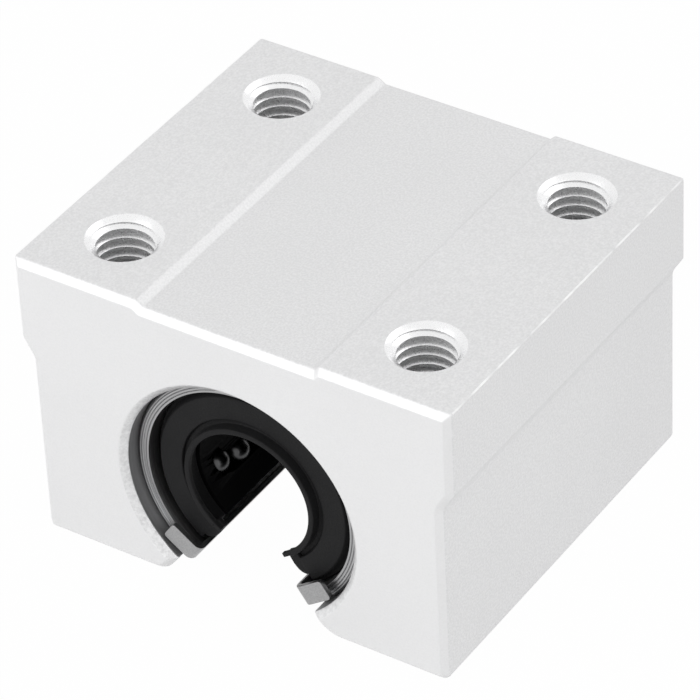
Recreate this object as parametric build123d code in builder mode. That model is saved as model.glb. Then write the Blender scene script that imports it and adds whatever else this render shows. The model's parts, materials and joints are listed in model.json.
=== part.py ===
from build123d import *

import os
from math import acos, cos, degrees, pi, radians, sin, sqrt, tan

# Open linear bearing block for a 10 mm shaft that stands on a support rail.
# The origin is on the shaft axis at mid-length. X runs across the block, Y along the shaft and
# Z up to the mounting face. Angles round the shaft are degrees from the top, towards +X.
# Sizes are in millimetres.

# Shaft and bearing
shaft_diameter = 10.0
ball_diameter = 2.0
bearing_diameter = 19.0
bearing_inset = 1.5
bearing_opening_angle = 70.0
slot_angle = 75.0

# Block
block_width = 36.0
block_length = 32.0
block_height = 24.0
shaft_height = 9.0
flange_thickness = 7.0
flange_overhang = 0.9
flange_slope_height = 1.5
flange_root_radius = 1.5
end_edge_chamfer = 0.5
left_foot_share = 0.4
right_foot_share = 0.78

# Shallow channel along the top face
recess_depth = 0.4
recess_left = -7.7
recess_right = 7.4
recess_left_slope = 0.65
recess_right_slope = 0.4

# Tapped holes in the top face, M5
hole_spacing_x = 25.0
hole_spacing_y = 20.0
tap_drill_diameter = 4.2
tapped_depth = 10.0
countersink_diameter = 5.9
countersink_angle = 90.0

# Set screw in the left side, M4
screw_root_diameter = 3.2
screw_head_inset = 1.6
screw_point_diameter = 2.0
screw_socket_width = 2.0
screw_socket_depth = 2.0
screw_end_chamfer = 0.4

# Steel sleeve
sleeve_wall = 1.4
sleeve_seat_wall = 1.1
sleeve_edge_chamfer = 0.3
sleeve_mouth_chamfer = 0.5
groove_width = 1.3
groove_depth = 0.5
groove_inset = 3.5
raceway_width_angle = 16.0

# Ball circuits
circuit_names = ("top", "right", "left")
load_angles = (0.0, 115.0, -115.0)
return_sides = (1, -1, 1)
return_rise = 1.0
turn_radius = 1.48
balls_per_turn = 2

# Retainer, seals and clips
retainer_inner_diameter = 10.8
retainer_end_wall = 0.75
seal_thickness = 1.9
seal_face_recess = 0.5
seal_lip_width = 0.55
seal_groove_width = 0.5
seal_groove_depth = 0.3
seal_edge_bevel = 0.4
seal_lip_overhang = 4.0
seal_lip_depth = 0.8
clip_thickness = 0.4
clip_width = 1.6
clip_inset = 0.45
clip_standoff = 0.4
clip_tab_length = 2.8
clip_bend_radius = 0.65

# Running and seating clearances
ball_clearance = 0.04
raceway_clearance = 0.02
sleeve_clearance = 0.02
retainer_clearance = 0.1
seal_clearance = 0.05
cut_clearance = 0.3
screw_clearance = 0.03

# Values that follow from the sizes above
ball_radius = ball_diameter / 2
shaft_radius = shaft_diameter / 2
sleeve_radius = bearing_diameter / 2
bore_radius = sleeve_radius + sleeve_clearance
sleeve_inner_radius = sleeve_radius - sleeve_wall
seat_radius = sleeve_radius - sleeve_seat_wall
load_radius = shaft_radius + ball_radius
return_radius = load_radius + return_rise
raceway_radius = load_radius + ball_radius + raceway_clearance
ball_pitch = pi * turn_radius / balls_per_turn
channel_radius = ball_radius + ball_clearance
half_wrap = 180 - bearing_opening_angle / 2
block_half = block_length / 2
bearing_half = block_half - bearing_inset
retainer_half = bearing_half - seal_thickness
row_space = 2 * (retainer_half - retainer_end_wall - turn_radius - channel_radius)
balls_per_row = int(row_space / ball_pitch)
row_length = balls_per_row * ball_pitch
turn_centre = row_length / 2
groove_end = bearing_half - groove_inset
slot_wall_length = shaft_height / cos(radians(slot_angle / 2)) - bore_radius
foot_tangent = tan(radians(45 + slot_angle / 4))
left_foot_radius = left_foot_share * slot_wall_length * foot_tangent
right_foot_radius = right_foot_share * slot_wall_length * foot_tangent
half_width = block_width / 2
body_half_width = half_width - flange_overhang
top = block_height - shaft_height
bottom = -shaft_height
flange_bottom = top - flange_thickness
slope_bottom = flange_bottom - flange_slope_height
lip_radius = shaft_radius + seal_lip_width


def outward(angle):
    """Unit vector from the shaft axis, at an angle from the top towards +X."""
    return Vector(sin(radians(angle)), 0, cos(radians(angle)))


def radial_plane(angle):
    """Plane through the shaft axis: x outwards at the angle, y along the shaft."""
    out = outward(angle)
    return Plane(origin=(0, 0, 0), x_dir=out, z_dir=(-out.Z, 0, out.X))


# Block: an extruded housing, open below, with a bore for the bearing
with BuildPart() as block:
    with BuildSketch(Plane.XZ):
        with BuildLine():
            Polyline(
                (0, top),
                (half_width, top),
                (half_width, flange_bottom),
                (body_half_width, slope_bottom),
                (body_half_width, bottom),
                (0, bottom),
            )
            mirror(about=Plane.YZ)
        make_face()
        with BuildLine():
            Polyline(
                (recess_left, top),
                (recess_left + recess_left_slope, top - recess_depth),
                (recess_right - recess_right_slope, top - recess_depth),
                (recess_right, top),
                close=True,
            )
        make_face(mode=Mode.SUBTRACT)
    extrude(amount=block_half, both=True)
    roots = block.edges().filter_by(Axis.Y).filter_by_position(Axis.Z, slope_bottom - 0.01, slope_bottom + 0.01)
    fillet(roots, flange_root_radius)

    # Radial slot that the shaft support passes through, with rounded feet and chamfered ends
    with BuildSketch(Plane.XZ):
        slot_depth = 2 * shaft_height
        slot_half = slot_depth * tan(radians(slot_angle / 2))
        Polygon((0, 0), (-slot_half, -slot_depth), (slot_half, -slot_depth), align=None)
    extrude(amount=block_half, both=True, mode=Mode.SUBTRACT)
    feet = block.edges().filter_by(Axis.Y).group_by(Axis.Z)[0].sort_by(Axis.X)
    fillet(feet[1], left_foot_radius)
    fillet(feet[2], right_foot_radius)
    chamfer(block.faces().filter_by(Axis.Y).edges(), end_edge_chamfer)

    # Bore for the bearing, with the same chamfer round both its rims
    with BuildSketch(Plane.YZ):
        with BuildLine():
            Polyline(
                (-block_half, 0),
                (-block_half, bore_radius + end_edge_chamfer),
                (end_edge_chamfer - block_half, bore_radius),
                (block_half - end_edge_chamfer, bore_radius),
                (block_half, bore_radius + end_edge_chamfer),
                (block_half, 0),
                close=True,
            )
        make_face()
    revolve(axis=Axis.Y, mode=Mode.SUBTRACT)

    # Tapped holes for the carriage plate, drilled blind
    with Locations((0, 0, top)):
        with GridLocations(hole_spacing_x, hole_spacing_y, 2, 2):
            CounterSinkHole(
                tap_drill_diameter / 2,
                countersink_diameter / 2,
                depth=tapped_depth,
                counter_sink_angle=countersink_angle,
            )

    # Tapped hole for the set screw, through the left wall to the bore
    with BuildSketch(Plane.YZ.offset(-body_half_width)):
        Circle(screw_root_diameter / 2 + screw_clearance)
    extrude(amount=body_half_width - load_radius, mode=Mode.SUBTRACT)

# Sleeve: a hardened steel tube cut open below, with an outer groove near each end
with BuildPart() as bearing_sleeve:
    with BuildSketch(radial_plane(-half_wrap)):
        with BuildLine():
            Polyline(
                (sleeve_inner_radius, 0),
                (sleeve_inner_radius, retainer_half),
                (seat_radius, retainer_half),
                (seat_radius, bearing_half - sleeve_mouth_chamfer),
                (seat_radius + sleeve_mouth_chamfer, bearing_half),
                (sleeve_radius - sleeve_edge_chamfer, bearing_half),
                (sleeve_radius, bearing_half - sleeve_edge_chamfer),
                (sleeve_radius, groove_end),
                (sleeve_radius - groove_depth, groove_end),
                (sleeve_radius - groove_depth, groove_end - groove_width),
                (sleeve_radius, groove_end - groove_width),
                (sleeve_radius, 0),
            )
            mirror(about=Plane.XZ)
        make_face()
    revolve(axis=Axis.Y, revolution_arc=2 * half_wrap)
    for angle in load_angles:
        with BuildSketch(radial_plane(angle - raceway_width_angle / 2)):
            with Locations((raceway_radius, 0)):
                Rectangle(
                    sleeve_inner_radius + sleeve_wall / 2 - raceway_radius,
                    row_length,
                    align=(Align.MIN, Align.CENTER),
                )
        revolve(axis=Axis.Y, revolution_arc=raceway_width_angle)


# Ball circuits: each is a flat loop of two straight rows joined by a half turn at either end
def circuit_plane(load_angle, return_side):
    """Plane of one loop: x from the load row to the return row, y along the shaft."""
    squares = load_radius**2 + return_radius**2 - (2 * turn_radius) ** 2
    spread = degrees(acos(squares / (2 * load_radius * return_radius)))
    load_row = outward(load_angle) * load_radius
    return_row = outward(load_angle + return_side * spread) * return_radius
    across = (return_row - load_row).normalized()
    normal = across.cross(Vector(0, 1, 0))
    return Plane(origin=(load_row + return_row) * 0.5, x_dir=across, z_dir=normal)


def ball_channel(plane, return_side):
    """Square channel of one loop, with bevelled corners on the side of the shaft."""
    across = Plane(origin=plane.origin, x_dir=plane.x_dir, z_dir=plane.y_dir)
    near_shaft = -1 if return_side > 0 else 0
    bevel = channel_radius * (2 - sqrt(2))
    with BuildPart() as channel:
        with BuildSketch(across) as rows:
            with Locations((-turn_radius, 0), (turn_radius, 0)):
                Rectangle(2 * channel_radius, 2 * channel_radius)
            chamfer(rows.vertices().group_by(Axis.Y)[near_shaft], bevel)
        extrude(amount=turn_centre, both=True)
        for end in (-1, 1):
            end_plane = across.offset(end * turn_centre)
            with BuildSketch(end_plane) as turn:
                with Locations((-turn_radius, 0)):
                    Rectangle(2 * channel_radius, 2 * channel_radius)
                chamfer(turn.vertices().group_by(Axis.Y)[near_shaft], bevel)
            turn_axis = Axis(end_plane.origin, plane.z_dir * -end)
            revolve(axis=turn_axis, revolution_arc=180)
    return channel.part


circuits = [circuit_plane(angle, side) for angle, side in zip(load_angles, return_sides)]
channels = [ball_channel(plane, side) for plane, side in zip(circuits, return_sides)]

# Retainer: a moulded shell that fills the sleeve and holds every circuit
with BuildPart() as ball_retainer:
    cut_angle = half_wrap - degrees(cut_clearance / sleeve_inner_radius)
    retainer_radius = sleeve_inner_radius - retainer_clearance
    with BuildSketch(radial_plane(-cut_angle)):
        with Locations((retainer_inner_diameter / 2, 0)):
            Rectangle(
                retainer_radius - retainer_inner_diameter / 2,
                2 * retainer_half,
                align=(Align.MIN, Align.CENTER),
            )
    revolve(axis=Axis.Y, revolution_arc=2 * cut_angle)
    pocket_radius = raceway_radius - retainer_clearance
    pocket_angle = raceway_width_angle + 2 * degrees(retainer_clearance / pocket_radius)
    for angle in load_angles:
        with BuildSketch(radial_plane(angle - pocket_angle / 2)):
            with Locations((pocket_radius, 0)):
                Rectangle(
                    sleeve_radius - pocket_radius,
                    row_length + 2 * retainer_clearance,
                    align=(Align.MIN, Align.CENTER),
                )
        revolve(axis=Axis.Y, revolution_arc=pocket_angle, mode=Mode.SUBTRACT)
    for channel in channels:
        add(channel, mode=Mode.SUBTRACT)


# Seals: rubber rings with a wiping lip that runs on round past the cut
def seal(end):
    """Seal at one end of the bearing, where end is -1 at the front and 1 at the rear."""
    inner = retainer_half
    face = bearing_half - seal_face_recess
    outer_radius = seat_radius - seal_clearance
    groove_radius = lip_radius + seal_groove_width
    with BuildPart() as ring:
        with BuildSketch(radial_plane(-cut_angle)):
            with BuildLine():
                Polyline(
                    (shaft_radius, end * inner),
                    (outer_radius, end * inner),
                    (outer_radius, end * (face - seal_edge_bevel)),
                    (outer_radius - seal_edge_bevel, end * face),
                    (groove_radius, end * face),
                    (groove_radius, end * (face - seal_groove_depth)),
                    (lip_radius, end * (face - seal_groove_depth)),
                    (lip_radius, end * bearing_half),
                    (shaft_radius, end * bearing_half),
                    close=True,
                )
            make_face()
        revolve(axis=Axis.Y, revolution_arc=2 * cut_angle)
        lip_angle = half_wrap + seal_lip_overhang
        with BuildSketch(radial_plane(-lip_angle)):
            with Locations(((shaft_radius + lip_radius) / 2, end * (bearing_half - seal_lip_depth / 2))):
                Rectangle(lip_radius - shaft_radius, seal_lip_depth)
        revolve(axis=Axis.Y, revolution_arc=2 * lip_angle)
    return ring.part


front_seal = seal(-1)
rear_seal = seal(1)


# Clips: spring strips on the cut faces of the sleeve, bent over both its ends
def clip(side):
    """Clip on one cut face, where side is -1 on the left and 1 on the right."""
    out = outward(side * half_wrap)
    inward_edge = sleeve_radius - clip_inset - clip_width
    into_opening = Vector(-side * abs(out.Z), 0, -abs(out.X))
    face_plane = Plane(origin=out * inward_edge, x_dir=into_opening, z_dir=out)
    half_length = bearing_half + clip_standoff + clip_thickness
    with BuildPart() as strip:
        with BuildSketch(face_plane):
            with Locations((clip_thickness, 0)):
                Rectangle(clip_tab_length, 2 * half_length, align=(Align.MAX, Align.CENTER))
            Rectangle(
                2 * clip_tab_length,
                2 * (half_length - clip_thickness),
                align=(Align.MAX, Align.CENTER),
                mode=Mode.SUBTRACT,
            )
        extrude(amount=clip_width)
        corners = strip.edges().filter_by(Axis((0, 0, 0), out))
        bends = corners.filter_by(lambda e: face_plane.to_local_coords(e.center()).X > clip_thickness - 0.001)
        fillet(bends, clip_bend_radius)
    return strip.part


left_clip = clip(-1)
right_clip = clip(1)

# Set screw: a socket screw that bears on the sleeve
with BuildPart() as set_screw:
    point = -(sleeve_radius + screw_clearance)
    head = screw_head_inset - body_half_width
    with BuildSketch(Plane.YZ.offset(head)):
        Circle(screw_root_diameter / 2)
    extrude(amount=point - head)
    point_edges = set_screw.faces().sort_by(Axis.X)[-1].edges()
    chamfer(point_edges, (screw_root_diameter - screw_point_diameter) / 2)
    head_edges = set_screw.faces().sort_by(Axis.X)[0].edges()
    chamfer(head_edges, screw_end_chamfer)
    with BuildSketch(Plane.YZ.offset(head)):
        RegularPolygon(screw_socket_width / 2, 6, major_radius=False)
    extrude(amount=screw_socket_depth, mode=Mode.SUBTRACT)

# Balls: each has flat facets whose corners lie on the sphere, so that sixty of them stay light
with BuildPart() as ball:
    facet_width = ball_diameter / sqrt(5 + 2 * sqrt(2))
    cube_width = facet_width * (1 + sqrt(2))
    Box(cube_width, cube_width, cube_width)
    chamfer(ball.edges(), (cube_width - facet_width) / 2)


def balls_at(places):
    """One group of balls, a separate solid at each place."""
    with BuildPart() as group:
        with Locations(*places):
            add(ball.part)
    return group.part


def row_places(plane, side):
    """Ball centres of a straight row on one side of a loop."""
    first = -(balls_per_row - 1) / 2
    return [
        plane.from_local_coords(Vector(side * turn_radius, (first + i) * ball_pitch, 0))
        for i in range(balls_per_row)
    ]


def turn_places(plane, end):
    """Ball centres of the half turn at one end of a loop."""
    step = 180 / balls_per_turn
    angles = [radians((i + 0.5) * step) for i in range(balls_per_turn)]
    return [
        plane.from_local_coords(
            Vector(-turn_radius * cos(a), end * (turn_centre + turn_radius * sin(a)), 0)
        )
        for a in angles
    ]


pieces = {
    "block": block.part,
    "bearing_sleeve": bearing_sleeve.part,
    "ball_retainer": ball_retainer.part,
    "front_seal": front_seal,
    "rear_seal": rear_seal,
    "left_clip": left_clip,
    "right_clip": right_clip,
    "set_screw": set_screw.part,
}
for name, plane in zip(circuit_names, circuits):
    pieces[f"load_balls_{name}"] = balls_at(row_places(plane, -1))
    pieces[f"return_balls_{name}"] = balls_at(row_places(plane, 1))
    pieces[f"front_turn_balls_{name}"] = balls_at(turn_places(plane, -1))
    pieces[f"rear_turn_balls_{name}"] = balls_at(turn_places(plane, 1))

os.makedirs("parts", exist_ok=True)
for name, piece in pieces.items():
    piece.label = name
    export_step(piece, f"parts/{name}.step")
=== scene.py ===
import json
from math import acos, cos, degrees, pi, radians, sin, sqrt

import bmesh
import bpy
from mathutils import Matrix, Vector

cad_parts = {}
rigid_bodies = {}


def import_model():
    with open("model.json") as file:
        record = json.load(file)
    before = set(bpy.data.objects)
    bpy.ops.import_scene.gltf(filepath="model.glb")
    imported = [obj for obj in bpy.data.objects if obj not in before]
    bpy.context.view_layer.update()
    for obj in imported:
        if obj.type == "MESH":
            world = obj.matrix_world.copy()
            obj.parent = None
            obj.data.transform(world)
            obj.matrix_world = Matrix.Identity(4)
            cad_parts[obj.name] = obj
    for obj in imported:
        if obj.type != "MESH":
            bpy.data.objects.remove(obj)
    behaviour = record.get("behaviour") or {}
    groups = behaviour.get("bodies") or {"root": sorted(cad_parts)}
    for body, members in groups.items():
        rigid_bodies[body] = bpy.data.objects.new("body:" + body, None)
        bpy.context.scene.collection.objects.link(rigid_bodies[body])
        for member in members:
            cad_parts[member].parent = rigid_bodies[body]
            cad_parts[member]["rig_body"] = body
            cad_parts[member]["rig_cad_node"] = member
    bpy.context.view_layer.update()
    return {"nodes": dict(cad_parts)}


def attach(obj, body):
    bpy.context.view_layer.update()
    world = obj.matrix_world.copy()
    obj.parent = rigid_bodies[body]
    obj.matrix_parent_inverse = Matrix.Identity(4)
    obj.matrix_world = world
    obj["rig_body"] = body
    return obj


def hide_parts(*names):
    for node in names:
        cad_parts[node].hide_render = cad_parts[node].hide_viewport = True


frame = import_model()

# Open linear bearing block. Everything is modelled in millimetres and brought to metres at the
# end. X runs across the block, Y along the shaft with the front at -Y, and Z up from the shaft
# axis. Angles round the shaft are degrees from the top, towards +X. A size that bears the name
# of a round form alone, such as BORE or BALL, is its radius.
MM = 0.001

# Block
HALF_WIDTH = 18.0
BODY_HALF_WIDTH = 17.1
HALF_LENGTH = 16.0
TOP = 15.0
BOTTOM = -9.0
FLANGE_BOTTOM = 8.0
FLANGE_SLOPE = 1.5
FLANGE_ROOT = 1.5
END_CHAMFER = 0.5
BOTTOM_RADIUS = 0.65
EDGE_ROUNDING = 0.1
BORE = 9.52

# Slot below the bore: half its angle and the radii of the feet beside it
SLOT_HALF = 37.5
LEFT_FOOT = 1.48
RIGHT_FOOT = 2.886

# Shallow channel along the top
RECESS_DEPTH = 0.4
RECESS_LEFT = -7.7
RECESS_RIGHT = 7.4
RECESS_LEFT_SLOPE = 0.65
RECESS_RIGHT_SLOPE = 0.4

# Tapped holes in the top, M5
HOLE_X = 12.5
HOLE_Y = 10.0
HOLE_DEPTH = 10.0
DRILL = 2.13
DRILL_POINT = 1.2
THREAD_ROOT = 2.1
THREAD_CREST = 2.5
THREAD_PITCH = 0.8
THREAD_DEPTH = HOLE_DEPTH - 2.0
SINK_FOOT = 1.97
SINK_DEPTH = 0.88
SINK = 2.85
SINK_RIM = 3.04

# Set screw in the left side, M4
SCREW = 1.6
SCREW_HOLE = 1.63
SCREW_HOLE_RIM = 2.1
SCREW_INSET = 1.6
SOCKET_WIDTH = 2.0
SOCKET_DEPTH = 2.0

# Steel sleeve, with HALF_WRAP degrees of it on each side of the top, and turned lines on its
# ends at these distances from the seat
SLEEVE = 9.5
SLEEVE_INSIDE = 8.1
SLEEVE_CHAMFER = 0.3
SEAT = 8.4
MOUTH_CHAMFER = 0.45
TURNED_LINES = (0.30, 0.52, 0.72)
TURNED_LINE_HALF = 0.04
TURNED_LINE_DEPTH = 0.08
SLEEVE_HALF = HALF_LENGTH - 1.5
HALF_WRAP = 145.0
GROOVE_OUT = 11.0
GROOVE_IN = 9.7
GROOVE_RADIUS = 9.0
RACEWAY = 7.02
RACEWAY_ANGLE = 16.0

# Seals
INNER_END = 12.6
SEAL_FACE = SLEEVE_HALF - 0.5
SEAL = 8.35
LIP = 5.0
LIP_BACK = 5.7
CUT_ANGLE = HALF_WRAP - degrees(0.3 / SLEEVE_INSIDE)
FLAP_START = CUT_ANGLE - 2.5
FLAP_END = HALF_WRAP + 4.0
FLAP_THICK = 0.5

# Clips
CLIP_THICK = 0.4
CLIP_WIDTH = 1.6
CLIP_BEND = 0.65
CLIP_TAB = 2.4
CLIP_TAB_CORNER = 0.28
CLIP_END = SLEEVE_HALF + 0.4 + CLIP_THICK
CLIP_INSET = 0.45

# Ball circuits: name, angle of the load row, and side on which the return row lies
CIRCUITS = (("top", 0.0, 1), ("right", 115.0, -1), ("left", -115.0, 1))
BALL = 1.0
LOAD_RADIUS = 6.0
RETURN_RADIUS = 7.0
TURN = 1.48
BALLS_PER_ROW = 8
PITCH = pi * TURN / 2
TURN_CENTRE = BALLS_PER_ROW * PITCH / 2

# Floor, light and camera, in metres, watts and degrees. A lamp has a name, place, size and power.
FLOOR_SIZE = 3.0
FLOOR_GREY = 0.70
FLOOR_WHITE_SHARE = 0.985
WORLD_LIGHT = 0.7
LAMPS = (
    ("key", (-0.125, -0.246, 0.116), 0.24, 0.30),
    ("back", (0.243, 0.397, 0.442), 0.30, 0.34),
    ("side", (0.230, -0.045, 0.095), 0.28, 0.13),
)
LAMP_AIM = Vector((0, 0, 0.003))
CAMERA_PLACE = (0.156847, -0.228289, 0.216396)
CAMERA_TURN = (52.3736, 2.2978, 32.8395)
CAMERA_LENS = 250.5


# Modelling helpers
def around(radius, angle, y=0.0):
    """Point at a radius from the shaft axis and an angle from the top towards +X."""
    return Vector((radius * sin(radians(angle)), y, radius * cos(radians(angle))))


def pick(piece):
    """Selects the piece alone and makes it the active object."""
    bpy.ops.object.select_all(action="DESELECT")
    piece.select_set(True)
    bpy.context.view_layer.objects.active = piece


def apply_place():
    """Takes the place, turn and scale of the selected object into its mesh."""
    bpy.ops.object.transform_apply(location=True, rotation=True, scale=True)


def trace(name, points):
    """Line drawn by extruding one vertex after another, left in edit mode with all selected."""
    bpy.ops.object.select_all(action="DESELECT")
    bpy.ops.mesh.primitive_plane_add(size=0.1, location=(0, 0, 0))
    piece = bpy.context.object
    piece.name = name
    bpy.ops.object.mode_set(mode="EDIT")
    bpy.ops.mesh.select_mode(type="VERT")
    bpy.ops.mesh.select_all(action="SELECT")
    bpy.ops.mesh.merge(type="CENTER")
    bpy.ops.transform.translate(value=points[0])
    for start, end in zip(points, points[1:]):
        bpy.ops.mesh.extrude_vertices_move(TRANSFORM_OT_translate={"value": end - start})
    bpy.ops.mesh.select_all(action="SELECT")
    return piece


def trace_face(name, points):
    """Flat face inside a closed line through the points, left in edit mode."""
    piece = trace(name, points)
    bpy.ops.mesh.edge_face_add()
    return piece


def close_solid(merge=0.0):
    """Merges points that lie closer together, turns all faces outwards and leaves edit mode."""
    bpy.ops.mesh.select_all(action="SELECT")
    if merge:
        bpy.ops.mesh.remove_doubles(threshold=merge)
    bpy.ops.mesh.normals_make_consistent(inside=False)
    bpy.ops.object.mode_set(mode="OBJECT")


def extruded(name, points, along):
    """Solid that the face inside the points leaves behind when it is drawn along."""
    piece = trace_face(name, points)
    bpy.ops.mesh.extrude_region_move(TRANSFORM_OT_translate={"value": along})
    close_solid()
    return piece


def end_to_end(name, outline, half_length):
    """Solid with the same end view all along the shaft, its middle at y = 0."""
    points = [Vector((x, -half_length, z)) for x, z in outline]
    return extruded(name, points, (0, 2 * half_length, 0))


def spin_solid(name, profile, start, sweep, steps):
    """Ring with the profile given as (radius, y) pairs, swept round the shaft axis."""
    piece = trace_face(name, [around(r, start, y) for r, y in profile])
    bpy.ops.mesh.spin(steps=steps, angle=radians(sweep), center=(0, 0, 0), axis=(0, -1, 0))
    close_solid(merge=0.0001)
    return piece


def turned(name, points, axis, steps):
    """Solid of revolution from a line that starts and ends on the axis."""
    piece = trace(name, points)
    bpy.ops.mesh.spin(steps=steps, angle=2 * pi, center=(0, 0, 0), axis=axis)
    close_solid(merge=0.0005)
    return piece


def upright_bar(name, profile, steps=48):
    """Solid of revolution round the Z axis, from (radius, z) pairs."""
    return turned(name, [Vector((r, 0, z)) for r, z in profile], (0, 0, 1), steps)


def apply_modifier(piece, kind, **settings):
    pick(piece)
    modifier = piece.modifiers.new(kind.title(), kind)
    for key, value in settings.items():
        setattr(modifier, key, value)
    bpy.ops.object.modifier_apply(modifier=modifier.name)


def round_edges(piece, width, segments=2, angle=28):
    apply_modifier(
        piece,
        "BEVEL",
        width=width,
        segments=segments,
        limit_method="ANGLE",
        angle_limit=radians(angle),
        use_clamp_overlap=True,
        loop_slide=True,
    )


def bevel_edges(piece, test, **settings):
    """Bevels the edges of the piece whose two ends pass the test."""
    pick(piece)
    bpy.ops.object.mode_set(mode="EDIT")
    bpy.ops.mesh.select_mode(type="EDGE")
    bpy.ops.mesh.select_all(action="DESELECT")
    bpy.ops.object.mode_set(mode="OBJECT")
    mesh = piece.data
    for edge in mesh.edges:
        first, second = (mesh.vertices[i].co for i in edge.vertices)
        edge.select = test(first, second)
    bpy.ops.object.mode_set(mode="EDIT")
    bpy.ops.mesh.bevel(affect="EDGES", **settings)
    bpy.ops.object.mode_set(mode="OBJECT")


def cut(piece, cutter):
    apply_modifier(piece, "BOOLEAN", operation="DIFFERENCE", solver="EXACT", object=cutter)
    bpy.data.objects.remove(cutter)


def join(first, *others):
    pick(first)
    for other in others:
        other.select_set(True)
    bpy.ops.object.join()
    return first


def copies(piece, places):
    """The piece repeated at each place, all joined into one object."""
    made = []
    for place in places:
        other = piece.copy()
        other.data = piece.data.copy()
        bpy.context.scene.collection.objects.link(other)
        other.location = place
        made.append(other)
    bpy.data.objects.remove(piece)
    joined = join(*made)
    apply_place()
    return joined


def place_in_frame(piece, material, body, node):
    """Gives a finished piece its material and its body, and hides the CAD node that it replaces."""
    piece.data.materials.clear()
    piece.data.materials.append(material)
    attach(piece, body)
    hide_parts(node)
    bpy.ops.object.select_all(action="DESELECT")


def finish_piece(piece, material, body, node, smooth=30, weighted=True):
    """Brings a finished piece to metres, shades it and puts it in the frame."""
    pick(piece)
    bpy.ops.transform.resize(value=(MM, MM, MM), center_override=(0, 0, 0))
    apply_place()
    bpy.ops.object.shade_smooth_by_angle(angle=radians(smooth))
    if weighted:
        apply_modifier(piece, "WEIGHTED_NORMAL", keep_sharp=True, weight=50)
    place_in_frame(piece, material, body, node)


# Surface effects that several materials share
def add_node(tree, kind, **settings):
    node = tree.nodes.new(kind)
    for key, value in settings.items():
        setattr(node, key, value)
    return node


def math_node(tree, operation, *values):
    """Result of a Math node on sockets and plain numbers."""
    node = add_node(tree, "ShaderNodeMath", operation=operation)
    for socket, value in zip(node.inputs, values):
        if isinstance(value, (int, float)):
            socket.default_value = value
        else:
            tree.links.new(value, socket)
    return node.outputs[0]


def noise(tree, place, scale, detail, roughness=0.5):
    """Noise value at a place, at a scale that another socket gives."""
    node = add_node(tree, "ShaderNodeTexNoise")
    node.inputs["Detail"].default_value = detail
    node.inputs["Roughness"].default_value = roughness
    tree.links.new(place, node.inputs["Vector"])
    tree.links.new(scale, node.inputs["Scale"])
    return node.outputs["Fac"]


def line_noise(tree, distance, scale, detail):
    """Noise value that changes with a distance only."""
    node = add_node(tree, "ShaderNodeTexNoise", noise_dimensions="1D")
    node.inputs["Scale"].default_value = scale
    node.inputs["Detail"].default_value = detail
    tree.links.new(distance, node.inputs["W"])
    return node.outputs["Fac"]


def new_group(name, inputs, outputs):
    """Empty node group with number sockets: (label, value) pairs go in, labels come out."""
    group = bpy.data.node_groups.new(name, "ShaderNodeTree")
    for label, value in inputs:
        socket = group.interface.new_socket(
            name=label, in_out="INPUT", socket_type="NodeSocketFloat"
        )
        socket.default_value = value
    for label in outputs:
        group.interface.new_socket(name=label, in_out="OUTPUT", socket_type="NodeSocketFloat")
    source = group.nodes.new("NodeGroupInput")
    sink = group.nodes.new("NodeGroupOutput")
    return group, source, sink


def object_place(tree):
    """X, Y and Z of the shaded point in the object's own coordinates."""
    place = add_node(tree, "ShaderNodeTexCoord")
    split = add_node(tree, "ShaderNodeSeparateXYZ")
    tree.links.new(place.outputs["Object"], split.inputs[0])
    return split.outputs["X"], split.outputs["Y"], split.outputs["Z"]


def grain_group():
    """Fine random grain: small light and dark specks, a height and a soft large cloud."""
    group, source, sink = new_group(
        "fine grain",
        [("Grains per metre", 9000.0), ("Cloud per metre", 120.0), ("Stretch Y", 1.0)],
        ["Speck", "Height", "Cloud"],
    )
    x, y, z = object_place(group)
    packed = add_node(group, "ShaderNodeCombineXYZ")
    group.links.new(x, packed.inputs["X"])
    group.links.new(
        math_node(group, "MULTIPLY", y, source.outputs["Stretch Y"]), packed.inputs["Y"]
    )
    group.links.new(z, packed.inputs["Z"])
    fine = noise(group, packed.outputs[0], source.outputs["Grains per metre"], 2.0, 0.6)
    cloud = noise(group, packed.outputs[0], source.outputs["Cloud per metre"], 3.0)
    ramp = add_node(group, "ShaderNodeMapRange")
    ramp.inputs["From Min"].default_value = 0.32
    ramp.inputs["From Max"].default_value = 0.68
    group.links.new(fine, ramp.inputs["Value"])
    group.links.new(ramp.outputs["Result"], sink.inputs["Speck"])
    group.links.new(fine, sink.inputs["Height"])
    group.links.new(cloud, sink.inputs["Cloud"])
    return group


def turning_group():
    """Fine lines left by turning: circles round the shaft axis on flat ends, rings along it."""
    group, source, sink = new_group(
        "turning lines", [("Lines per metre", 6000.0)], ["Line", "Coarse line"]
    )
    x, y, z = object_place(group)
    squares = math_node(group, "MULTIPLY_ADD", z, z, math_node(group, "MULTIPLY", x, x))
    across = math_node(group, "ADD", math_node(group, "SQRT", squares), y)
    distance = math_node(group, "MULTIPLY", across, source.outputs["Lines per metre"])
    group.links.new(line_noise(group, distance, 1.0, 2.0), sink.inputs["Line"])
    group.links.new(line_noise(group, distance, 0.25, 1.0), sink.inputs["Coarse line"])
    return group


GRAIN = grain_group()
TURNING = turning_group()


# Materials
def new_material(name):
    material = bpy.data.materials.new(name)
    material.use_nodes = True
    tree = material.node_tree
    return material, tree, tree.nodes["Principled BSDF"]


def grain_in(tree, grains, cloud, stretch=1.0):
    """The fine grain in a material. A stretch below 1 makes its specks longer along Y."""
    node = add_node(tree, "ShaderNodeGroup", node_tree=GRAIN)
    node.inputs["Grains per metre"].default_value = grains
    node.inputs["Cloud per metre"].default_value = cloud
    node.inputs["Stretch Y"].default_value = stretch
    return node.outputs["Speck"], node.outputs["Height"], node.outputs["Cloud"]


def turning_in(tree, lines):
    """The turning lines in a material, with so many lines per metre."""
    node = add_node(tree, "ShaderNodeGroup", node_tree=TURNING)
    node.inputs["Lines per metre"].default_value = lines
    return node.outputs["Line"], node.outputs["Coarse line"]


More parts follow.
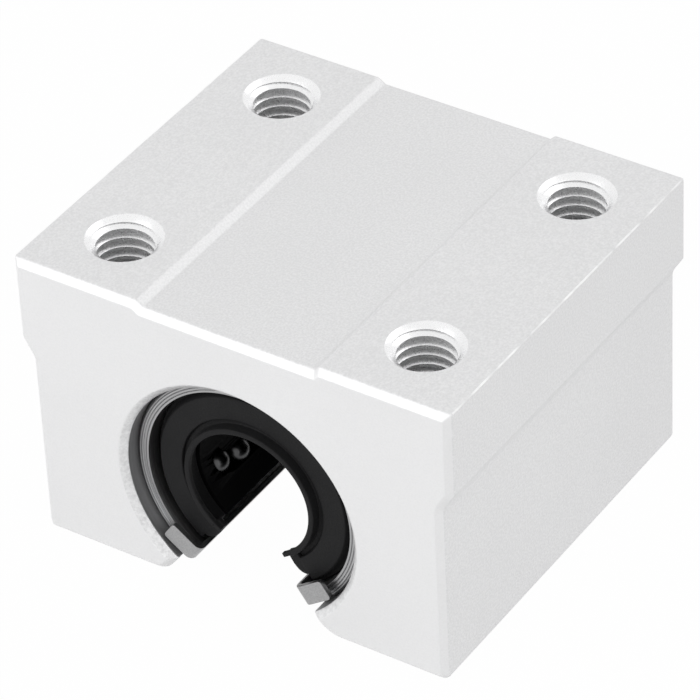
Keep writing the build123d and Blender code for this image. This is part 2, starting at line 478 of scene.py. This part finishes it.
def tone(tree, amount, dark, light):
    """Colour between two others, by an amount from 0 to 1."""
    mix = add_node(tree, "ShaderNodeMix", data_type="RGBA")
    mix.inputs["A"].default_value = (*dark, 1)
    mix.inputs["B"].default_value = (*light, 1)
    tree.links.new(amount, mix.inputs["Factor"])
    return mix.outputs["Result"]


def spread(tree, amount, low, high):
    """Value from low to high as the amount goes from 0 to 1."""
    node = add_node(tree, "ShaderNodeMapRange")
    node.inputs["To Min"].default_value = low
    node.inputs["To Max"].default_value = high
    tree.links.new(amount, node.inputs["Value"])
    return node.outputs["Result"]


def bump(tree, shader, height, distance, strength):
    node = add_node(tree, "ShaderNodeBump")
    node.inputs["Distance"].default_value = distance
    node.inputs["Strength"].default_value = strength
    tree.links.new(height, node.inputs["Height"])
    tree.links.new(node.outputs["Normal"], shader.inputs["Normal"])


def set_look(tree, shader, colour, rough, metallic=0.0, specular=0.5):
    """Links the colour and the roughness, and sets the values that are the same all over."""
    tree.links.new(colour, shader.inputs["Base Color"])
    tree.links.new(rough, shader.inputs["Roughness"])
    shader.inputs["Metallic"].default_value = metallic
    shader.inputs["Specular IOR Level"].default_value = specular


def end_face_mask(tree):
    """1 on the end faces and their chamfers, 0 on faces along the shaft."""
    geometry = add_node(tree, "ShaderNodeNewGeometry")
    split = add_node(tree, "ShaderNodeSeparateXYZ")
    tree.links.new(geometry.outputs["True Normal"], split.inputs[0])
    return math_node(tree, "GREATER_THAN", math_node(tree, "ABSOLUTE", split.outputs["Y"]), 0.6)


def anodised_aluminium():
    """Clear-anodised block: a fine blasted grain along its sides and smoother milled ends."""
    material, tree, shader = new_material("clear anodised aluminium")
    speck, height, cloud = grain_in(tree, 6500.0, 90.0, 0.8)
    ends = end_face_mask(tree)
    calm = math_node(tree, "MULTIPLY_ADD", ends, -0.65, 1.0)
    specks = math_node(tree, "MULTIPLY", math_node(tree, "SUBTRACT", speck, 0.5), calm)
    clouds = math_node(tree, "SUBTRACT", cloud, 0.5)
    amount = math_node(tree, "MULTIPLY_ADD", clouds, 0.4, specks)
    amount = math_node(tree, "ADD", amount, 0.4)
    amount = math_node(tree, "MULTIPLY_ADD", ends, 0.45, amount)
    colour = tone(tree, amount, (0.72, 0.72, 0.725), (0.83, 0.83, 0.835))
    set_look(tree, shader, colour, spread(tree, speck, 0.42, 0.58), metallic=0.5)
    bump(tree, shader, math_node(tree, "MULTIPLY", height, calm), 0.00006, 0.5)
    return material


def rubbed_highlight_aluminium():
    """Long edges of the flange: the grain is rubbed bright in short runs, and the lighter colour is
    partly edge wear and partly a painted highlight line.
    """
    material, tree, shader = new_material("rubbed aluminium edge with painted highlight")
    speck, _, _ = grain_in(tree, 800.0, 300.0, 0.7)
    # Painted highlight: the near-white end of this tone stands for the thin bright line that the
    # edges catch, on top of real wear.
    colour = tone(tree, speck, (0.70, 0.70, 0.705), (0.98, 0.98, 0.98))
    tree.links.new(colour, shader.inputs["Base Color"])
    shader.inputs["Metallic"].default_value = 0.6
    shader.inputs["Roughness"].default_value = 0.3
    return material


def rim_aluminium():
    """Chamfer at the bore's rims: turned after the blasting, rough in places."""
    material, tree, shader = new_material("turned aluminium rim")
    speck, height, cloud = grain_in(tree, 3200.0, 160.0)
    spots = math_node(tree, "MULTIPLY", speck, cloud)
    colour = tone(tree, spots, (0.86, 0.86, 0.865), (0.56, 0.56, 0.565))
    set_look(tree, shader, colour, spread(tree, spots, 0.36, 0.66), metallic=0.5)
    bump(tree, shader, height, 0.0001, 0.6)
    return material


def machined_aluminium():
    """Tapped holes: bare cut metal, shinier than the blasted faces."""
    material, tree, shader = new_material("machined aluminium")
    speck, height, cloud = grain_in(tree, 9000.0, 400.0)
    colour = tone(tree, cloud, (0.82, 0.82, 0.825), (0.93, 0.93, 0.935))
    set_look(tree, shader, colour, spread(tree, speck, 0.24, 0.36), metallic=0.8)
    bump(tree, shader, height, 0.00002, 0.25)
    return material


def shaded_bore_aluminium():
    """Bore: turned metal with a dull finish and faint rings round the shaft axis, its colour
    darkened all over as painted shade of the inside of the bore.
    """
    material, tree, shader = new_material("bore aluminium with painted shade")
    line, coarse = turning_in(tree, 5000.0)
    # Painted shade: these dark tones stand for the shade inside the bore, not for the metal's own
    # colour.
    colour = tone(tree, line, (0.31, 0.31, 0.315), (0.375, 0.375, 0.38))
    set_look(tree, shader, colour, spread(tree, coarse, 0.38, 0.48), metallic=0.85)
    bump(tree, shader, line, 0.00001, 0.3)
    return material


def turned_steel():
    """Sleeve: ground steel with fine rings round the shaft axis."""
    material, tree, shader = new_material("turned bearing steel")
    line, coarse = turning_in(tree, 9000.0)
    _, height, _ = grain_in(tree, 15000.0, 200.0)
    colour = tone(tree, coarse, (0.27, 0.27, 0.275), (0.50, 0.50, 0.505))
    set_look(tree, shader, colour, spread(tree, line, 0.22, 0.42), metallic=1.0)
    bump(tree, shader, math_node(tree, "MULTIPLY_ADD", height, 0.15, line), 0.00003, 0.6)
    return material


def rolled_steel():
    """Spring strip: steel with fine lines along its length."""
    material, tree, shader = new_material("rolled spring steel")
    speck, height, cloud = grain_in(tree, 14000.0, 300.0, 0.04)
    colour = tone(tree, speck, (0.30, 0.30, 0.305), (0.42, 0.42, 0.42))
    set_look(tree, shader, colour, spread(tree, cloud, 0.22, 0.42), metallic=1.0)
    bump(tree, shader, height, 0.00002, 0.5)
    return material


def shaded_ball_steel():
    """Balls: polished chrome steel, its colour darkened all over as painted shade of the dark bore,
    a little lighter or darker in patches.
    """
    material, tree, shader = new_material("polished ball steel with painted shade")
    _, _, cloud = grain_in(tree, 3000.0, 900.0)
    # Painted shade: the base colour is far below bare steel, so that the balls stay as dark as the
    # shade inside the bore.
    colour = tone(tree, cloud, (0.045, 0.045, 0.047), (0.10, 0.10, 0.102))
    set_look(tree, shader, colour, spread(tree, cloud, 0.20, 0.38), metallic=1.0)
    return material


def seal_rubber():
    """Seals: matte black moulded rubber with a fine dull bloom."""
    material, tree, shader = new_material("moulded seal rubber")
    speck, height, cloud = grain_in(tree, 8000.0, 350.0)
    colour = tone(tree, cloud, (0.010, 0.010, 0.0105), (0.017, 0.017, 0.0177))
    set_look(tree, shader, colour, spread(tree, speck, 0.52, 0.70), specular=0.12)
    bump(tree, shader, height, 0.00003, 0.6)
    return material


def shaded_retainer_plastic():
    """Retainer: black moulded plastic, almost without a shine, and darkened further as painted shade
    inside the bore.
    """
    material, tree, shader = new_material("moulded retainer plastic with painted shade")
    speck, height, cloud = grain_in(tree, 5000.0, 250.0, 0.5)
    # Partly painted shade: black plastic, taken darker than its own colour to stand for the shade
    # inside the bore.
    colour = tone(tree, cloud, (0.002, 0.002, 0.0022), (0.005, 0.005, 0.0053))
    set_look(tree, shader, colour, spread(tree, speck, 0.58, 0.74), specular=0.04)
    bump(tree, shader, height, 0.00002, 0.4)
    return material


def black_oxide():
    """Set screw: steel blackened in a hot bath, a little brown where it is thin."""
    material, tree, shader = new_material("black oxide steel")
    speck, height, cloud = grain_in(tree, 9000.0, 700.0)
    colour = tone(tree, cloud, (0.022, 0.021, 0.021), (0.070, 0.064, 0.060))
    set_look(tree, shader, colour, spread(tree, speck, 0.34, 0.52), metallic=0.9)
    bump(tree, shader, height, 0.00002, 0.5)
    return material


ALUMINIUM = anodised_aluminium()
MACHINED = machined_aluminium()
SHADED_BORE = shaded_bore_aluminium()
RUBBED_HIGHLIGHT = rubbed_highlight_aluminium()
RIM = rim_aluminium()
SLEEVE_STEEL = turned_steel()
STRIP_STEEL = rolled_steel()
SHADED_BALL_STEEL = shaded_ball_steel()
RUBBER = seal_rubber()
SHADED_PLASTIC = shaded_retainer_plastic()
OXIDE = black_oxide()


# Block
def corner(before, at, after, radius, steps):
    """Points that round a corner of an outline with the given radius."""
    to_before = (Vector(before) - Vector(at)).normalized()
    to_after = (Vector(after) - Vector(at)).normalized()
    half = acos(to_before.dot(to_after)) / 2
    reach = radius / (sin(half) / cos(half))
    centre = Vector(at) + (to_before + to_after).normalized() * (radius / sin(half))
    first = Vector(at) + to_before * reach - centre
    last = Vector(at) + to_after * reach - centre
    sweep = pi - 2 * half
    points = []
    for i in range(steps + 1):
        t = i / steps
        spoke = (first * sin((1 - t) * sweep) + last * sin(t * sweep)) / sin(sweep)
        points.append(centre + spoke)
    return [(p.x, p.y) for p in points]


def block_outline():
    """End view of the block before the slot and the bore are cut."""
    flange_tip = (HALF_WIDTH, FLANGE_BOTTOM)
    flange_root = (BODY_HALF_WIDTH, FLANGE_BOTTOM - FLANGE_SLOPE)
    lower_edge = (BODY_HALF_WIDTH, BOTTOM)
    right = [(HALF_WIDTH, TOP), flange_tip]
    right += corner(flange_tip, flange_root, lower_edge, FLANGE_ROOT, 4)
    right += corner(flange_root, lower_edge, (0, BOTTOM), BOTTOM_RADIUS, 5)
    left = [(-x, z) for x, z in reversed(right)]
    recess = [
        (RECESS_LEFT, TOP),
        (RECESS_LEFT + RECESS_LEFT_SLOPE, TOP - RECESS_DEPTH),
        (RECESS_RIGHT - RECESS_RIGHT_SLOPE, TOP - RECESS_DEPTH),
        (RECESS_RIGHT, TOP),
    ]
    return left + recess + right


def slot_outline():
    """End view of what the slot takes away: its point on the shaft axis and the rounded feet."""
    foot_x = -BOTTOM * sin(radians(SLOT_HALF)) / cos(radians(SLOT_HALF))
    below = BOTTOM - 1
    right = corner((0, 0), (foot_x, BOTTOM), (BODY_HALF_WIDTH, BOTTOM), RIGHT_FOOT, 9)
    left = corner((0, 0), (foot_x, BOTTOM), (BODY_HALF_WIDTH, BOTTOM), LEFT_FOOT, 6)
    left = [(-x, z) for x, z in reversed(left)]
    return [(0, 0)] + right + [(right[-1][0], below), (left[0][0], below)] + left


def bore_cutter():
    """Bar the size of the bore, with a cone at each end that chamfers the rim."""
    beyond = 0.6
    end = HALF_LENGTH + beyond
    cone = BORE + END_CHAMFER + beyond
    rim = HALF_LENGTH - END_CHAMFER
    profile = [(0, -end), (cone, -end), (BORE, -rim), (BORE, rim), (cone, end), (0, end)]
    return turned("bore_cutter", [Vector((0, y, r)) for r, y in profile], (0, 1, 0), 120)


def signed_volume(piece):
    """Volume of a closed mesh, negative where its faces point inwards."""
    shape = bmesh.new()
    shape.from_mesh(piece.data)
    volume = shape.calc_volume(signed=True)
    shape.free()
    return volume


def thread_bar():
    """Closed bar with the holes' thread along Z, from z = 0 down to z = -THREAD_DEPTH."""
    profile = [
        (THREAD_ROOT, 0.0),
        (THREAD_ROOT, THREAD_PITCH * 0.14),
        (THREAD_CREST, THREAD_PITCH * 0.45),
        (THREAD_CREST, THREAD_PITCH * 0.55),
        (THREAD_ROOT, THREAD_PITCH * 0.86),
        (THREAD_ROOT, THREAD_PITCH),
    ]
    piece = trace("tap", [Vector((r, 0, z)) for r, z in profile])
    bpy.ops.object.mode_set(mode="OBJECT")
    apply_modifier(
        piece,
        "SCREW",
        axis="Z",
        screw_offset=THREAD_PITCH,
        iterations=int(THREAD_DEPTH / THREAD_PITCH) + 2,
        steps=40,
        render_steps=40,
        use_merge_vertices=True,
        merge_threshold=0.0001,
        use_smooth_shade=False,
    )
    pick(piece)
    bpy.ops.object.mode_set(mode="EDIT")
    bpy.ops.mesh.select_all(action="SELECT")
    bpy.ops.mesh.remove_doubles(threshold=0.0002)
    bpy.ops.mesh.select_mode(type="EDGE")
    bpy.ops.mesh.select_all(action="DESELECT")
    bpy.ops.mesh.select_non_manifold(
        extend=False,
        use_wire=True,
        use_boundary=True,
        use_multi_face=False,
        use_non_contiguous=False,
        use_verts=False,
    )
    bpy.ops.mesh.edge_face_add()
    bpy.ops.mesh.select_all(action="SELECT")
    bpy.ops.transform.translate(value=(0, 0, -THREAD_DEPTH - THREAD_PITCH / 2))
    close_solid()
    if signed_volume(piece) < 0:
        piece.data.flip_normals()
    return piece


def cut_tapped_holes(piece):
    """Drills, taps and countersinks the four holes in the top."""
    corners = [(x, y) for x in (-HOLE_X, HOLE_X) for y in (-HOLE_Y, HOLE_Y)]
    foot = TOP - HOLE_DEPTH
    drill = upright_bar(
        "drill", [(0, foot - DRILL_POINT), (DRILL, foot), (DRILL, TOP + 1), (0, TOP + 1)]
    )
    cut(piece, copies(drill, [(x, y, 0) for x, y in corners]))
    cut(piece, copies(thread_bar(), [(x, y, TOP) for x, y in corners]))
    sink_profile = [
        (0, TOP - SINK_DEPTH),
        (SINK_FOOT, TOP - SINK_DEPTH),
        (SINK, TOP - 0.04),
        (SINK_RIM, TOP + 0.03),
        (SINK_RIM + 0.16, TOP + 0.4),
        (0, TOP + 0.4),
    ]
    sink = upright_bar("countersink", sink_profile, steps=80)
    cut(piece, copies(sink, [(x, y, 0) for x, y in corners]))


def lay_to_left(piece):
    """Turns a bar that stands along +Z so that it points along -X."""
    pick(piece)
    bpy.ops.transform.rotate(value=radians(90), orient_axis="Y", center_override=(0, 0, 0))
    apply_place()


def cut_screw_hole(piece):
    """Drills the hole of the set screw through the left wall, with its rim opened a little."""
    inside = SLEEVE - 0.9
    outside = BODY_HALF_WIDTH + 0.1
    profile = [
        (0, inside),
        (SCREW_HOLE, inside),
        (SCREW_HOLE, outside - 0.45),
        (SCREW_HOLE_RIM, outside),
        (0, outside),
    ]
    drill = upright_bar("side_drill", profile)
    lay_to_left(drill)
    cut(piece, drill)


def block_material(face):
    """Material of one face of the finished block, by where it is and where it points."""
    x, y, z = face.center / MM
    across, along, upwards = (abs(part) for part in face.normal)
    from_shaft = sqrt(x**2 + z**2)
    from_hole = sqrt((abs(x) - HOLE_X) ** 2 + (abs(y) - HOLE_Y) ** 2)
    from_screw = sqrt(y**2 + z**2)
    rim = HALF_LENGTH - END_CHAMFER
    in_tapped_hole = from_hole < SINK + 0.01 and 4 < z < TOP - 0.02
    in_screw_hole = x < -BORE and from_screw < SCREW_HOLE + 0.07 and face.normal.x > -0.9
    at_top_edge = abs(x) > HALF_WIDTH - 0.15 and z > TOP - 0.15
    at_rim = from_shaft < BORE + END_CHAMFER + 0.1 and abs(y) > rim - 0.01
    if in_tapped_hole or in_screw_hole:
        return MACHINED
    # The bore's faces take the darkened colour, which is painted shade.
    if from_shaft < BORE + 0.02 and abs(y) < rim:
        return SHADED_BORE
    # The long top edges get a lighter colour, partly rubbed wear and partly a painted highlight.
    if at_top_edge and across > 0.2 and upwards > 0.1 and along < 0.2:
        return RUBBED_HIGHLIGHT
    if at_rim and 0.3 < along < 0.95:
        return RIM
    return ALUMINIUM


def make_block():
    """Block: slotted, chamfered at both ends, bored, rounded, tapped, and given its materials, among
    them painted shade in the bore and a painted highlight on the long top edges.
    """
    piece = end_to_end("housing_block", block_outline(), HALF_LENGTH)
    cut(piece, end_to_end("slot_cutter", slot_outline(), HALF_LENGTH + 1))
    bevel_edges(
        piece,
        lambda a, b: abs(a.y - b.y) < 0.001,
        offset=END_CHAMFER,
        offset_type="OFFSET",
        segments=1,
        clamp_overlap=False,
    )
    cut(piece, bore_cutter())
    round_edges(piece, EDGE_ROUNDING, angle=24)
    cut_tapped_holes(piece)
    cut_screw_hole(piece)
    finish_piece(piece, ALUMINIUM, "block", "block")
    block_materials = [ALUMINIUM, MACHINED, SHADED_BORE, RUBBED_HIGHLIGHT, RIM]
    for finish in block_materials[1:]:
        piece.data.materials.append(finish)
    for face in piece.data.polygons:
        face.material_index = block_materials.index(block_material(face))


# Bearing
def make_sleeve():
    """Sleeve with its seats, end lines and outer grooves, and the three raceways in it."""
    notch = ((-TURNED_LINE_HALF, 0), (0, TURNED_LINE_DEPTH), (TURNED_LINE_HALF, 0))
    turned_lines = [
        (SEAT + middle + reach, SLEEVE_HALF - depth)
        for middle in TURNED_LINES
        for reach, depth in notch
    ]
    half = [
        (SLEEVE_INSIDE, INNER_END),
        (SEAT, INNER_END),
        (SEAT, SLEEVE_HALF - MOUTH_CHAMFER),
        (SEAT + 0.1, SLEEVE_HALF),
        *turned_lines,
        (SLEEVE - 0.25, SLEEVE_HALF),
        (SLEEVE, SLEEVE_HALF - SLEEVE_CHAMFER),
        (SLEEVE, GROOVE_OUT),
        (GROOVE_RADIUS, GROOVE_OUT),
        (GROOVE_RADIUS, GROOVE_IN),
        (SLEEVE, GROOVE_IN),
    ]
    profile = half + [(r, -y) for r, y in reversed(half)]
    piece = spin_solid("steel_sleeve", profile, -HALF_WRAP, 2 * HALF_WRAP, 112)
    round_edges(piece, 0.015, segments=1)
    land = [
        (RACEWAY, -TURN_CENTRE),
        (SLEEVE_INSIDE + 0.5, -TURN_CENTRE),
        (SLEEVE_INSIDE + 0.5, TURN_CENTRE),
        (RACEWAY, TURN_CENTRE),
    ]
    for _, load_angle, _ in CIRCUITS:
        start = load_angle - RACEWAY_ANGLE / 2
        join(piece, spin_solid("raceway", land, start, RACEWAY_ANGLE, 8))
    finish_piece(piece, SLEEVE_STEEL, "block", "bearing_sleeve")


def make_flap(end, side):
    """Seal's free end, which stands a little over the slot and widens towards the ring."""
    length = FLAP_END - 0.2 - FLAP_START
    inner_line = [(5.2, FLAP_START + length * i / 6) for i in range(7)]
    outer_line = [
        (5.7, FLAP_END + 0.1),
        (6.2, FLAP_END),
        (6.5, FLAP_END - 0.5),
        (6.8, FLAP_END - 1.3),
        (7.05, FLAP_END - 2.6),
        (7.2, FLAP_END - 3.9),
        (7.3, FLAP_END - 5.2),
        (7.3, FLAP_START),
    ]
    outline = [around(r, side * a, end * (SEAL_FACE - 0.02)) for r, a in inner_line + outer_line]
    piece = extruded("flap", outline, (0, -FLAP_THICK * end, 0))
    round_edges(piece, 0.08, angle=40)
    lip_profile = [
        (LIP, end * (SLEEVE_HALF - 0.3)),
        (5.25, end * (SLEEVE_HALF - 0.8)),
        (5.35, end * (SLEEVE_HALF - 0.8)),
        (5.35, end * SLEEVE_HALF),
        (LIP, end * SLEEVE_HALF),
    ]
    lip_start = CUT_ANGLE - 2 if side > 0 else -FLAP_END
    lip = spin_solid("lip_end", lip_profile, lip_start, FLAP_END - CUT_ANGLE + 2, 8)
    round_edges(lip, 0.07)
    return join(piece, lip)


def make_seal(end, node):
    """Seal at the front (end -1) or the rear (end 1), with a free end on each side."""
    body = [
        (LIP_BACK, INNER_END),
        (SEAL, INNER_END),
        (SEAL, SEAL_FACE - 0.7),
        (SEAL - 0.3, SEAL_FACE - 0.6),
        (7.8, SEAL_FACE),
        (5.95, SEAL_FACE),
    ]
    groove = [(5.9, SEAL_FACE - 0.3), (5.5, SEAL_FACE - 0.3)]
    lip = [
        (5.45, SLEEVE_HALF),
        (LIP, SLEEVE_HALF),
        (LIP, SLEEVE_HALF - 0.3),
        (5.3, SLEEVE_HALF - 0.6),
        (5.6, SLEEVE_HALF - 0.8),
        (LIP_BACK, SLEEVE_HALF - 1.1),
    ]
    ring = [(r, end * y) for r, y in body + groove + lip]
    piece = spin_solid(f"{node}_rubber", ring, -CUT_ANGLE, 2 * CUT_ANGLE, 96)
    round_edges(piece, 0.09, segments=3)
    for side in (-1, 1):
        join(piece, make_flap(end, side))
    finish_piece(piece, RUBBER, "block", node)


def strip_bend(radius, step):
    """Points (across, y) of a clip's front bend on one side of the strip, from tab to middle."""
    return [
        (
            CLIP_THICK - CLIP_BEND + radius * sin(radians(a)),
            CLIP_BEND - CLIP_END - radius * cos(radians(a)),
        )
        for a in range(0, 91, step)
    ]


def make_clip(side, node):
    """Strip bent over both ends of the sleeve, drawn along its own line and given its width."""
    out = around(1, side * HALF_WRAP)
    into = Vector((-side * abs(out.z), 0, -abs(out.x)))
    outer = [(-CLIP_TAB, -CLIP_END)] + strip_bend(CLIP_BEND, 15)
    inner = [(-CLIP_TAB, CLIP_THICK - CLIP_END)] + strip_bend(CLIP_BEND - CLIP_THICK, 30)
    front = list(reversed(inner)) + outer
    loop = front + [(t, -y) for t, y in reversed(front)]
    start = out * (SLEEVE - CLIP_INSET - CLIP_WIDTH)
    points = [start + into * t + Vector((0, y, 0)) for t, y in loop]
    piece = extruded(f"{node}_strip", points, out * CLIP_WIDTH)

    def at_tab_corner(a, b):
        return max(a.dot(into), b.dot(into)) < 0.01 - CLIP_TAB and abs(a.y - b.y) > 0.1

    bevel_edges(piece, at_tab_corner, offset=CLIP_TAB_CORNER, segments=4)
    round_edges(piece, 0.07, angle=40)
    finish_piece(piece, STRIP_STEEL, "block", node)


def make_set_screw():
    """Screw with a hexagon socket, its point just off the sleeve."""
    tip = SLEEVE + 0.03
    head = BODY_HALF_WIDTH - SCREW_INSET
    profile = [(0, tip), (1.0, tip), (SCREW, tip + 0.6), (SCREW, head - 0.4), (1.2, head), (0, head)]
    piece = upright_bar("socket_screw", profile)
    bpy.ops.mesh.primitive_cylinder_add(
        vertices=6, radius=SOCKET_WIDTH / sqrt(3), depth=2 * SOCKET_DEPTH, location=(0, 0, head)
    )
    socket = bpy.context.object
    apply_place()
    cut(piece, socket)
    round_edges(piece, 0.05)
    lay_to_left(piece)
    finish_piece(piece, OXIDE, "block", "set_screw")


def make_retainer():
    """The retainer's own solid, merged and shaded smooth."""
    source = frame["nodes"]["ball_retainer"]
    piece = source.copy()
    piece.data = source.data.copy()
    piece.name = "retainer_shell"
    piece.parent = None
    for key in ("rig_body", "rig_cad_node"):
        if key in piece:
            del piece[key]
    bpy.context.scene.collection.objects.link(piece)
    pick(piece)
    bpy.ops.object.mode_set(mode="EDIT")
    bpy.ops.mesh.select_all(action="SELECT")
    bpy.ops.mesh.remove_doubles(threshold=0.000001)
    bpy.ops.mesh.tris_convert_to_quads(face_threshold=radians(5), shape_threshold=radians(60))
    bpy.ops.object.mode_set(mode="OBJECT")
    bpy.ops.object.shade_smooth_by_angle(angle=radians(28))
    place_in_frame(piece, SHADED_PLASTIC, "block", "ball_retainer")


# Balls
def circuit_line(load_angle, return_side):
    """Middle of a circuit and the direction from its load row to its return row."""
    squares = LOAD_RADIUS**2 + RETURN_RADIUS**2 - (2 * TURN) ** 2
    between = degrees(acos(squares / (2 * LOAD_RADIUS * RETURN_RADIUS)))
    load = around(LOAD_RADIUS, load_angle)
    back = around(RETURN_RADIUS, load_angle + return_side * between)
    return (load + back) / 2, (back - load).normalized()


def one_ball():
    """A cube divided and drawn out to a sphere, so that it has no poles."""
    bpy.ops.mesh.primitive_cube_add(size=2 * BALL, location=(0, 0, 0))
    ball = bpy.context.object
    bpy.ops.object.mode_set(mode="EDIT")
    bpy.ops.mesh.select_all(action="SELECT")
    bpy.ops.mesh.subdivide(number_cuts=9)
    bpy.ops.transform.tosphere(value=1.0)
    bpy.ops.object.mode_set(mode="OBJECT")
    factor = BALL / max(v.co.length for v in ball.data.vertices)
    pick(ball)
    bpy.ops.transform.resize(value=(factor, factor, factor), center_override=(0, 0, 0))
    apply_place()
    return ball


def ball_group(node, places):
    """Balls that move together, in one piece on their own body."""
    piece = copies(one_ball(), places)
    piece.name = f"{node}_steel"
    finish_piece(piece, SHADED_BALL_STEEL, node, node, smooth=60, weighted=False)


def make_circuit(name, load_angle, return_side):
    """Closed loop of balls: a load row, a return row and a half turn at each end."""
    middle, across = circuit_line(load_angle, return_side)
    along = Vector((0, 1, 0))
    rows = [(i - (BALLS_PER_ROW - 1) / 2) * PITCH for i in range(BALLS_PER_ROW)]
    ball_group(f"load_balls_{name}", [middle - across * TURN + along * y for y in rows])
    ball_group(f"return_balls_{name}", [middle + across * TURN + along * y for y in rows])
    for end, label in ((-1, "front"), (1, "rear")):
        places = []
        for angle in (radians(45), radians(135)):
            y = end * (TURN_CENTRE + TURN * sin(angle))
            places.append(middle - across * TURN * cos(angle) + along * y)
        ball_group(f"{label}_turn_balls_{name}", places)


make_block()
make_sleeve()
make_seal(-1, "front_seal")
make_seal(1, "rear_seal")
make_clip(-1, "left_clip")
make_clip(1, "right_clip")
make_set_screw()
make_retainer()
for circuit in CIRCUITS:
    make_circuit(*circuit)


# Floor, light and camera
def straight_rays(tree):
    """1 for rays that come from the camera, from metal or through something clear."""
    path = add_node(tree, "ShaderNodeLightPath")
    glossy = math_node(
        tree, "MAXIMUM", path.outputs["Is Glossy Ray"], path.outputs["Is Transmission Ray"]
    )
    return math_node(tree, "MAXIMUM", path.outputs["Is Camera Ray"], glossy)


def make_floor():
    """Plain floor that looks white, and still takes the object's shadow."""
    bpy.ops.mesh.primitive_plane_add(size=FLOOR_SIZE, location=(0, 0, BOTTOM * MM))
    floor = bpy.context.object
    floor.name = "floor"
    apply_place()
    material, tree, shader = new_material("pale floor")
    output = tree.nodes["Material Output"]
    tree.nodes.remove(shader)
    diffuse = add_node(tree, "ShaderNodeBsdfDiffuse")
    diffuse.inputs["Color"].default_value = (FLOOR_GREY, FLOOR_GREY, FLOOR_GREY, 1)
    white = add_node(tree, "ShaderNodeEmission")
    white.inputs["Color"].default_value = (1, 1, 1, 1)
    mix = add_node(tree, "ShaderNodeMixShader")
    share = math_node(tree, "MULTIPLY", straight_rays(tree), FLOOR_WHITE_SHARE)
    tree.links.new(share, mix.inputs[0])
    tree.links.new(diffuse.outputs[0], mix.inputs[1])
    tree.links.new(white.outputs[0], mix.inputs[2])
    tree.links.new(mix.outputs[0], output.inputs["Surface"])
    floor.data.materials.append(material)


def make_world():
    """White where rays see it straight, and less light than that on the object."""
    world = bpy.data.worlds.new("studio")
    bpy.context.scene.world = world
    world.use_nodes = True
    tree = world.node_tree
    background = tree.nodes["Background"]
    background.inputs["Color"].default_value = (1, 1, 1, 1)
    strength = math_node(
        tree, "MULTIPLY_ADD", straight_rays(tree), 1 - WORLD_LIGHT, WORLD_LIGHT
    )
    tree.links.new(strength, background.inputs["Strength"])


def soft_light(name, place, size, power):
    """Large square lamp that looks at the object."""
    bpy.ops.object.light_add(type="AREA", location=place)
    lamp = bpy.context.object
    lamp.name = name
    lamp.data.shape = "SQUARE"
    lamp.data.size = size
    lamp.data.energy = power
    lamp.rotation_euler = (LAMP_AIM - Vector(place)).to_track_quat("-Z", "Y").to_euler()


def make_camera():
    """Camera at the photograph's angle."""
    bpy.ops.object.camera_add(location=CAMERA_PLACE)
    camera = bpy.context.object
    camera.rotation_euler = [radians(turn) for turn in CAMERA_TURN]
    camera.data.sensor_width = 36
    camera.data.lens = CAMERA_LENS
    camera.data.clip_start = 0.01
    camera.data.clip_end = 20
    bpy.context.scene.camera = camera


make_floor()
make_world()
for lamp in LAMPS:
    soft_light(*lamp)
make_camera()
bpy.context.scene.view_settings.view_transform = "Standard"
